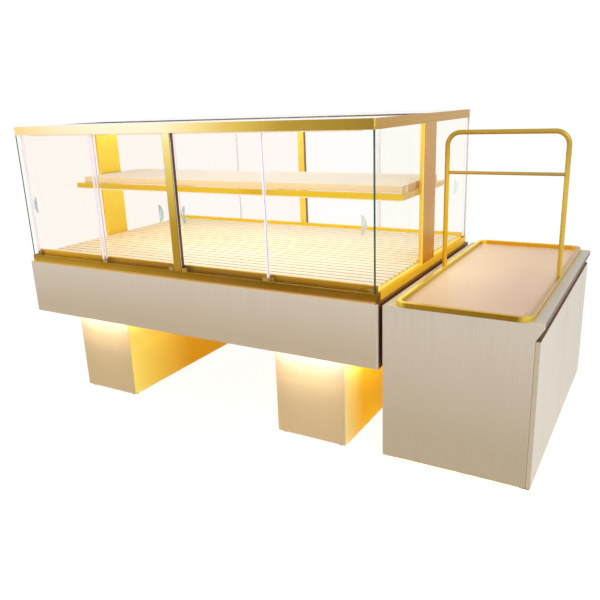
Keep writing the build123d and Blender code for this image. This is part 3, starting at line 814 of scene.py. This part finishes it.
# Tray
def tray_look():
    """Satin tray plate: rosy metal with fine random scratches and soft clouding, a painted
    highlight and glow on the left, and painted shade on the right.
    """
    g = new_look("tray_metal")
    cloud = g.noise((2.2, 1.6, 1))
    scratches = g.noise((14, 160, 14), 4.0, 0.7)
    tone = g.mix(g.spread(cloud, 0.0, 1.0), colour(229, 194, 162), colour(241, 208, 173))
    # Painted highlight and glow on the left of the plate
    beside = g.product(g.along(X, RIM[1].x - 0.15, RIM[0].x), g.along(Y, -0.6, -0.1))
    beside = g.product(beside, g.inverse(g.product(g.along(Y, 0.0, 0.5), 0.5)))
    tone = g.mix(beside, tone, colour(255, 228, 188))
    # Painted shade towards the right of the plate
    far_side = g.product(g.along(X, RIM[1].x - 0.3, RIM[1].x), g.along(Y, 0.2, -0.3))
    tone = g.mix(g.product(far_side, g.spread(cloud, 0.5, 1.0)), tone, colour(206, 172, 144))
    tone = g.mix(g.spread(scratches, 0.0, 0.2), tone, colour(206, 172, 146))
    shader = g.add(
        "BsdfPrincipled",
        Base_Color=tone,
        Metallic=0.25,
        Emission_Color=(1.0, 0.72, 0.45, 1),
        Emission_Strength=g.product(beside, 0.16),
        Roughness=g.spread(cloud, 0.3, 0.46),
        Normal=g.bump(scratches, 0.08, 0.0003),
    )
    return g.finish(shader)


tray_metal = tray_look()

looks = {
    base_laminate: ["base_front_panel", "base_rear_panel", "base_end_panels"],
    inner_laminate: ["base_bottom_panel", "counter_bottom_panel", "counter_divider"],
    under_deck: ["base_top_panel"],
    pedestal_laminate: ["left_pedestal", "right_pedestal"],
    plinth_laminate: ["counter_plinth"],
    counter_laminate: ["counter_front_panel", "counter_rear_panel", "counter_left_panel"],
    door_laminate: ["counter_door_front", "counter_door_rear"],
    worktop_laminate: ["counter_worktop"],
    gold_top_front: ["top_rail_front", "top_rail_rear"],
    gold_top_side: ["top_end_rails"],
    gold_lip: ["bottom_rail_front"],
    gold_kerb_rear: ["bottom_rail_rear"],
    gold_end_rail: ["bottom_end_rails"],
    gold_post: ["end_post_left", "end_post_right"],
    gold_mullion: ["front_mullion"],
    gold_rear_mullion: ["rear_mullion"],
    gold_shelf: ["shelf_frame"],
    gold_rim: ["tray_rim"],
    gold_arch: ["arch_legs", "arch_bend", "arch_collars"],
    gold_crossbar: ["arch_crossbar"],
    end_glass: ["end_glass_left", "end_glass_right"],
    lid_glass: ["top_glass"],
    deck_wood: ["lower_deck"],
    shelf_wood: ["shelf_deck"],
    black_plastic: ["levelling_feet", "cable_gland"],
    driver_housing: ["led_driver"],
    steel: ["counter_door_pivots"],
    case_lamp: ["case_led_strips"],
    base_lamp: ["base_led_strips"],
    tray_metal: ["tray_plate"],
    door_glass: [name for name in nodes if "_door_" in name and not name.startswith("counter")],
    clear_plastic: [name for name in nodes if "_fittings_" in name],
}
for look, names in looks.items():
    for name in names:
        mesh = nodes[name].data
        mesh.materials.clear()
        mesh.materials.append(look)


# Small pieces that the CAD leaves to the scene
def piece(name, mesh, look, body):
    mesh.materials.append(look)
    made = bpy.data.objects.new(name, mesh)
    bpy.context.scene.collection.objects.link(made)
    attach(made, body)


def loft(bm, rings):
    """Skins a row of equally long rings of vertices, and caps both of its ends."""
    count = len(rings[0])
    for low, high in zip(rings, rings[1:]):
        for index in range(count):
            after = (index + 1) % count
            bm.faces.new((low[index], low[after], high[after], high[index]))
    bm.faces.new(rings[-1])
    bm.faces.new(list(reversed(rings[0])))


# Countersunk screw head: (radius, height) from its foot to the bottom of its socket
SCREW_HEAD = [
    (0.0052, 0.0), (0.0052, 0.0005), (0.0043, 0.0013),
    (0.0030, 0.0018), (0.0016, 0.0019), (0.0013, 0.0006),
]
SCREW_SIDES = 20


def screws(name, places):
    """Screw heads, turned about Z, at each place."""
    mesh = bpy.data.meshes.new(name)
    bm = bmesh.new()
    for place in places:
        rings = []
        for radius, height in SCREW_HEAD:
            angles = [2 * math.pi * side / SCREW_SIDES for side in range(SCREW_SIDES)]
            rings.append([
                bm.verts.new(
                    Vector((radius * math.cos(angle), radius * math.sin(angle), height))
                    + Vector(place)
                )
                for angle in angles
            ])
        loft(bm, rings)
    bm.normal_update()
    bm.to_mesh(mesh)
    bm.free()
    return mesh


SCREW_FROM_LEFT, SCREW_FROM_RIGHT = 0.018, 0.022
SCREW_FROM_FRONT, SCREW_FROM_REAR = 0.085, 0.095
tray_x = (PLATE[0].x + SCREW_FROM_LEFT, PLATE[1].x - SCREW_FROM_RIGHT)
tray_y = (PLATE[0].y + SCREW_FROM_FRONT, PLATE[1].y - SCREW_FROM_REAR)
tray_places = [(x, y, PLATE[1].z) for x in tray_x for y in tray_y]
piece(
    "tray_screws", screws("tray_screws", tray_places), screw_metal, "showcase_root"
)

# Door seals: wall, rounded back and its steps, play on each face of the glass, the foot's height
# over the door's lowest point, the top's height over the floor, and how much glass they cover
SEAL_WALL = 0.0009
SEAL_BACK = 0.0011
SEAL_BACK_STEPS = 6
SEAL_PLAY = 0.001
SEAL_FOOT = 0.0225
SEAL_TOP = 1.3705
SEAL_COVER = 0.0065
BUFFER_COVER = 0.012


def seal(name, edge_x, inward, door, body, cover):
    """Clear strip pushed over an upright edge of a door: a channel with a rounded back.

    inward is 1 where the glass lies to the right of the edge, and -1 where it lies to the left.
    """
    low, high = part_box(door)
    y0, y1 = low.y - SEAL_PLAY, high.y + SEAL_PLAY
    middle = (y0 + y1) / 2
    outline = []
    for step in range(SEAL_BACK_STEPS + 1):
        angle = math.pi * step / SEAL_BACK_STEPS
        outline.append((
            edge_x - inward * SEAL_BACK * math.sin(angle),
            middle - (y1 - y0) / 2 * math.cos(angle),
        ))
    lip_x = edge_x + inward * cover
    outline += [
        (lip_x, y1), (lip_x, y1 - SEAL_WALL), (edge_x, y1 - SEAL_WALL),
        (edge_x, y0 + SEAL_WALL), (lip_x, y0 + SEAL_WALL), (lip_x, y0),
    ]
    mesh = bpy.data.meshes.new(name)
    bm = bmesh.new()
    heights = (low.z + SEAL_FOOT, SEAL_TOP)
    loft(bm, [[bm.verts.new((x, y, z)) for x, y in outline] for z in heights])
    bmesh.ops.recalc_face_normals(bm, faces=bm.faces)
    bm.to_mesh(mesh)
    bm.free()
    piece(name, mesh, seal_plastic, body)


for side in ("front", "rear"):
    # Each door has a seal on its free edge, and the left end doors a buffer on the closing one
    for place, inward in (
        ("left_end", -1), ("left_middle", 1), ("right_middle", -1), ("right_end", 1),
    ):
        door = f"{side}_door_{place}"
        body = f"{side}_{place}_door"
        low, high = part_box(door)
        free_x = low.x if inward > 0 else high.x
        seal(f"{side}_seal_{place}", free_x, inward, door, body, SEAL_COVER)
        if place == "left_end":
            seal(f"{side}_buffer_{place}", low.x, 1, door, body, BUFFER_COVER)


# Floor
FLOOR_HALF = 30.0
FLOOR_TONE = (0.86, 0.86, 0.86, 1)
FLOOR_SEEN_TONE = (0.16, 0.16, 0.16, 1)
FLOOR_SEEN_GLOW = 0.89


def floor_look():
    """White floor: keeps the set's shadow, and shows white to the camera and in reflections."""
    g = new_look("floor_white")
    seen = g.seen()
    plain = g.add("BsdfDiffuse", Color=g.mix(seen, FLOOR_TONE, FLOOR_SEEN_TONE))
    glow = g.add("Emission", Color=WHITE, Strength=g.product(seen, FLOOR_SEEN_GLOW))
    both = g.add("AddShader")
    g.put(both.inputs[0], plain.outputs[0])
    g.put(both.inputs[1], glow.outputs[0])
    return g.finish(both)


floor_mesh = bpy.data.meshes.new("floor")
floor_mesh.from_pydata(
    [(x * FLOOR_HALF, y * FLOOR_HALF, 0) for x, y in ((-1, -1), (1, -1), (1, 1), (-1, 1))],
    [], [(0, 1, 2, 3)],
)
floor_mesh.materials.append(floor_look())
floor = bpy.data.objects.new("floor", floor_mesh)
bpy.context.scene.collection.objects.link(floor)

# World
WORLD_LEVEL = 0.72
world = bpy.data.worlds.new("studio")
bpy.context.scene.world = world
sky = Graph(world, "OutputWorld")
sky_level = sky.ranged(sky.seen(), 0.0, 1.0, WORLD_LEVEL, 1.0)
sky.finish(sky.add("Background", Color=WHITE, Strength=sky_level))


# Lamps
def lamp(name, place, turn, size, power, tone=(1, 1, 1), spread=math.pi):
    """Rectangular lamp, turned by an Euler rotation."""
    data = bpy.data.lights.new(name, "AREA")
    data.shape = "RECTANGLE"
    data.size, data.size_y = size
    data.energy = power
    data.color = tone
    data.spread = spread
    made = bpy.data.objects.new(name, data)
    made.location = place
    made.rotation_euler = turn
    bpy.context.scene.collection.objects.link(made)


def aimed_lamp(name, place, target, *rest):
    """Rectangular lamp that shines at a target."""
    direction = Vector(target) - Vector(place)
    lamp(name, place, direction.to_track_quat("-Z", "Y").to_euler(), *rest)


WARM = (1.0, 0.86, 0.42)
SOFT = (1.0, 0.92, 0.74)
INNER = (1.0, 0.95, 0.84)
STUDIO_SIZE = (2.6, 2.6)
KEY_POWER, FILL_POWER = 46, 26
aimed_lamp("key", (4.2, -2.2, 3.4), (0.4, 0, 0.6), STUDIO_SIZE, KEY_POWER)
aimed_lamp("fill", (-3.6, -3.4, 2.8), (-0.3, 0, 0.7), STUDIO_SIZE, FILL_POWER)

# The strips round the pedestals and the plinth: how far they stand off a face, how wide they are,
# how far they lie under the top, how far they lean to the face, and how far they spread
STRIP_OFFSET = 0.06
STRIP_WIDTH = 0.02
STRIP_DROP = 0.009
STRIP_LEAN = math.radians(38)
STRIP_SPREAD = math.radians(140)


def strip_lamps(node, long_power, side_power, sides):
    """Warm light from the strips round the top of a pedestal, thrown down its faces."""
    low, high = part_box(node)
    middle = (low + high) / 2
    length = high - low
    long_size, side_size = (length.x, STRIP_WIDTH), (STRIP_WIDTH, length.y)
    z = high.z - STRIP_DROP
    for side, x, y, turn, size, power, tone in (
        ("front", middle.x, low.y - STRIP_OFFSET, (STRIP_LEAN, 0, 0), long_size, long_power, SOFT),
        ("rear", middle.x, high.y + STRIP_OFFSET, (-STRIP_LEAN, 0, 0), long_size, long_power, SOFT),
        ("left", low.x - STRIP_OFFSET, middle.y, (0, -STRIP_LEAN, 0), side_size, side_power, WARM),
        ("right", high.x + STRIP_OFFSET, middle.y, (0, STRIP_LEAN, 0), side_size, side_power, WARM),
    ):
        if side in sides:
            lamp(f"{node}_{side}", (x, y, z), turn, size, power, tone, STRIP_SPREAD)


for node, long_power, side_power, sides in (
    ("left_pedestal", 0.7, 0.8, ("front", "rear", "left", "right")),
    ("right_pedestal", 0.9, 1.9, ("front", "rear", "left", "right")),
    ("counter_plinth", 0.5, 0.8, ("front", "rear", "right")),
):
    strip_lamps(node, long_power, side_power, sides)

# The strips under the top rails and under the shelf, one on each side of the case
CASE_MIDDLE = (CASE_LEFT + CASE_RIGHT) / 2
CASE_STRIP_LENGTH = 1.8
CASE_STRIP_POWER = 1.4
RAIL_STRIP_Y, RAIL_STRIP_AIM_Y, RAIL_STRIP_DROP, RAIL_STRIP_WIDTH = 0.56, 0.3, 0.048, 0.012
SHELF_STRIP_Y, SHELF_STRIP_Z, SHELF_STRIP_WIDTH = 0.2, 1.060, 0.05
for sign in (-1, 1):
    aimed_lamp(
        f"case_top_{sign + 1}",
        (CASE_MIDDLE, sign * RAIL_STRIP_Y, CASE_TOP - RAIL_STRIP_DROP),
        (CASE_MIDDLE, sign * RAIL_STRIP_AIM_Y, CASE_BOTTOM),
        (CASE_STRIP_LENGTH, RAIL_STRIP_WIDTH), CASE_STRIP_POWER, INNER,
    )
    aimed_lamp(
        f"shelf_under_{sign + 1}",
        (CASE_MIDDLE, sign * SHELF_STRIP_Y, SHELF_STRIP_Z),
        (CASE_MIDDLE, sign * SHELF_STRIP_Y, CASE_BOTTOM),
        (CASE_STRIP_LENGTH, SHELF_STRIP_WIDTH), CASE_STRIP_POWER, INNER,
    )

# Camera, fitted to the straight edges in the photograph
LOCATION = Vector((1.63873, -2.81528, 1.46959))
YAW, PITCH, ROLL = -0.5306, 0.2939, -0.0391
SENSOR_WIDTH, FOCAL_LENGTH = 36.0, 38.87
FAR_CLIP = 200.0
forward = Vector((
    math.sin(YAW) * math.cos(PITCH), math.cos(YAW) * math.cos(PITCH), -math.sin(PITCH),
))
level_right = Vector((math.cos(YAW), -math.sin(YAW), 0))
level_up = level_right.cross(forward)
right = math.cos(ROLL) * level_right + math.sin(ROLL) * level_up
up = -math.sin(ROLL) * level_right + math.cos(ROLL) * level_up
camera_data = bpy.data.cameras.new("camera")
camera_data.sensor_width = SENSOR_WIDTH
camera_data.lens = FOCAL_LENGTH
camera_data.clip_end = FAR_CLIP
camera = bpy.data.objects.new("camera", camera_data)
camera.matrix_world = Matrix((
    (right.x, up.x, -forward.x, LOCATION.x),
    (right.y, up.y, -forward.y, LOCATION.y),
    (right.z, up.z, -forward.z, LOCATION.z),
    (0, 0, 0, 1),
))
bpy.context.scene.collection.objects.link(camera)
bpy.context.scene.camera = camera
bpy.context.scene.view_settings.view_transform = "Standard"
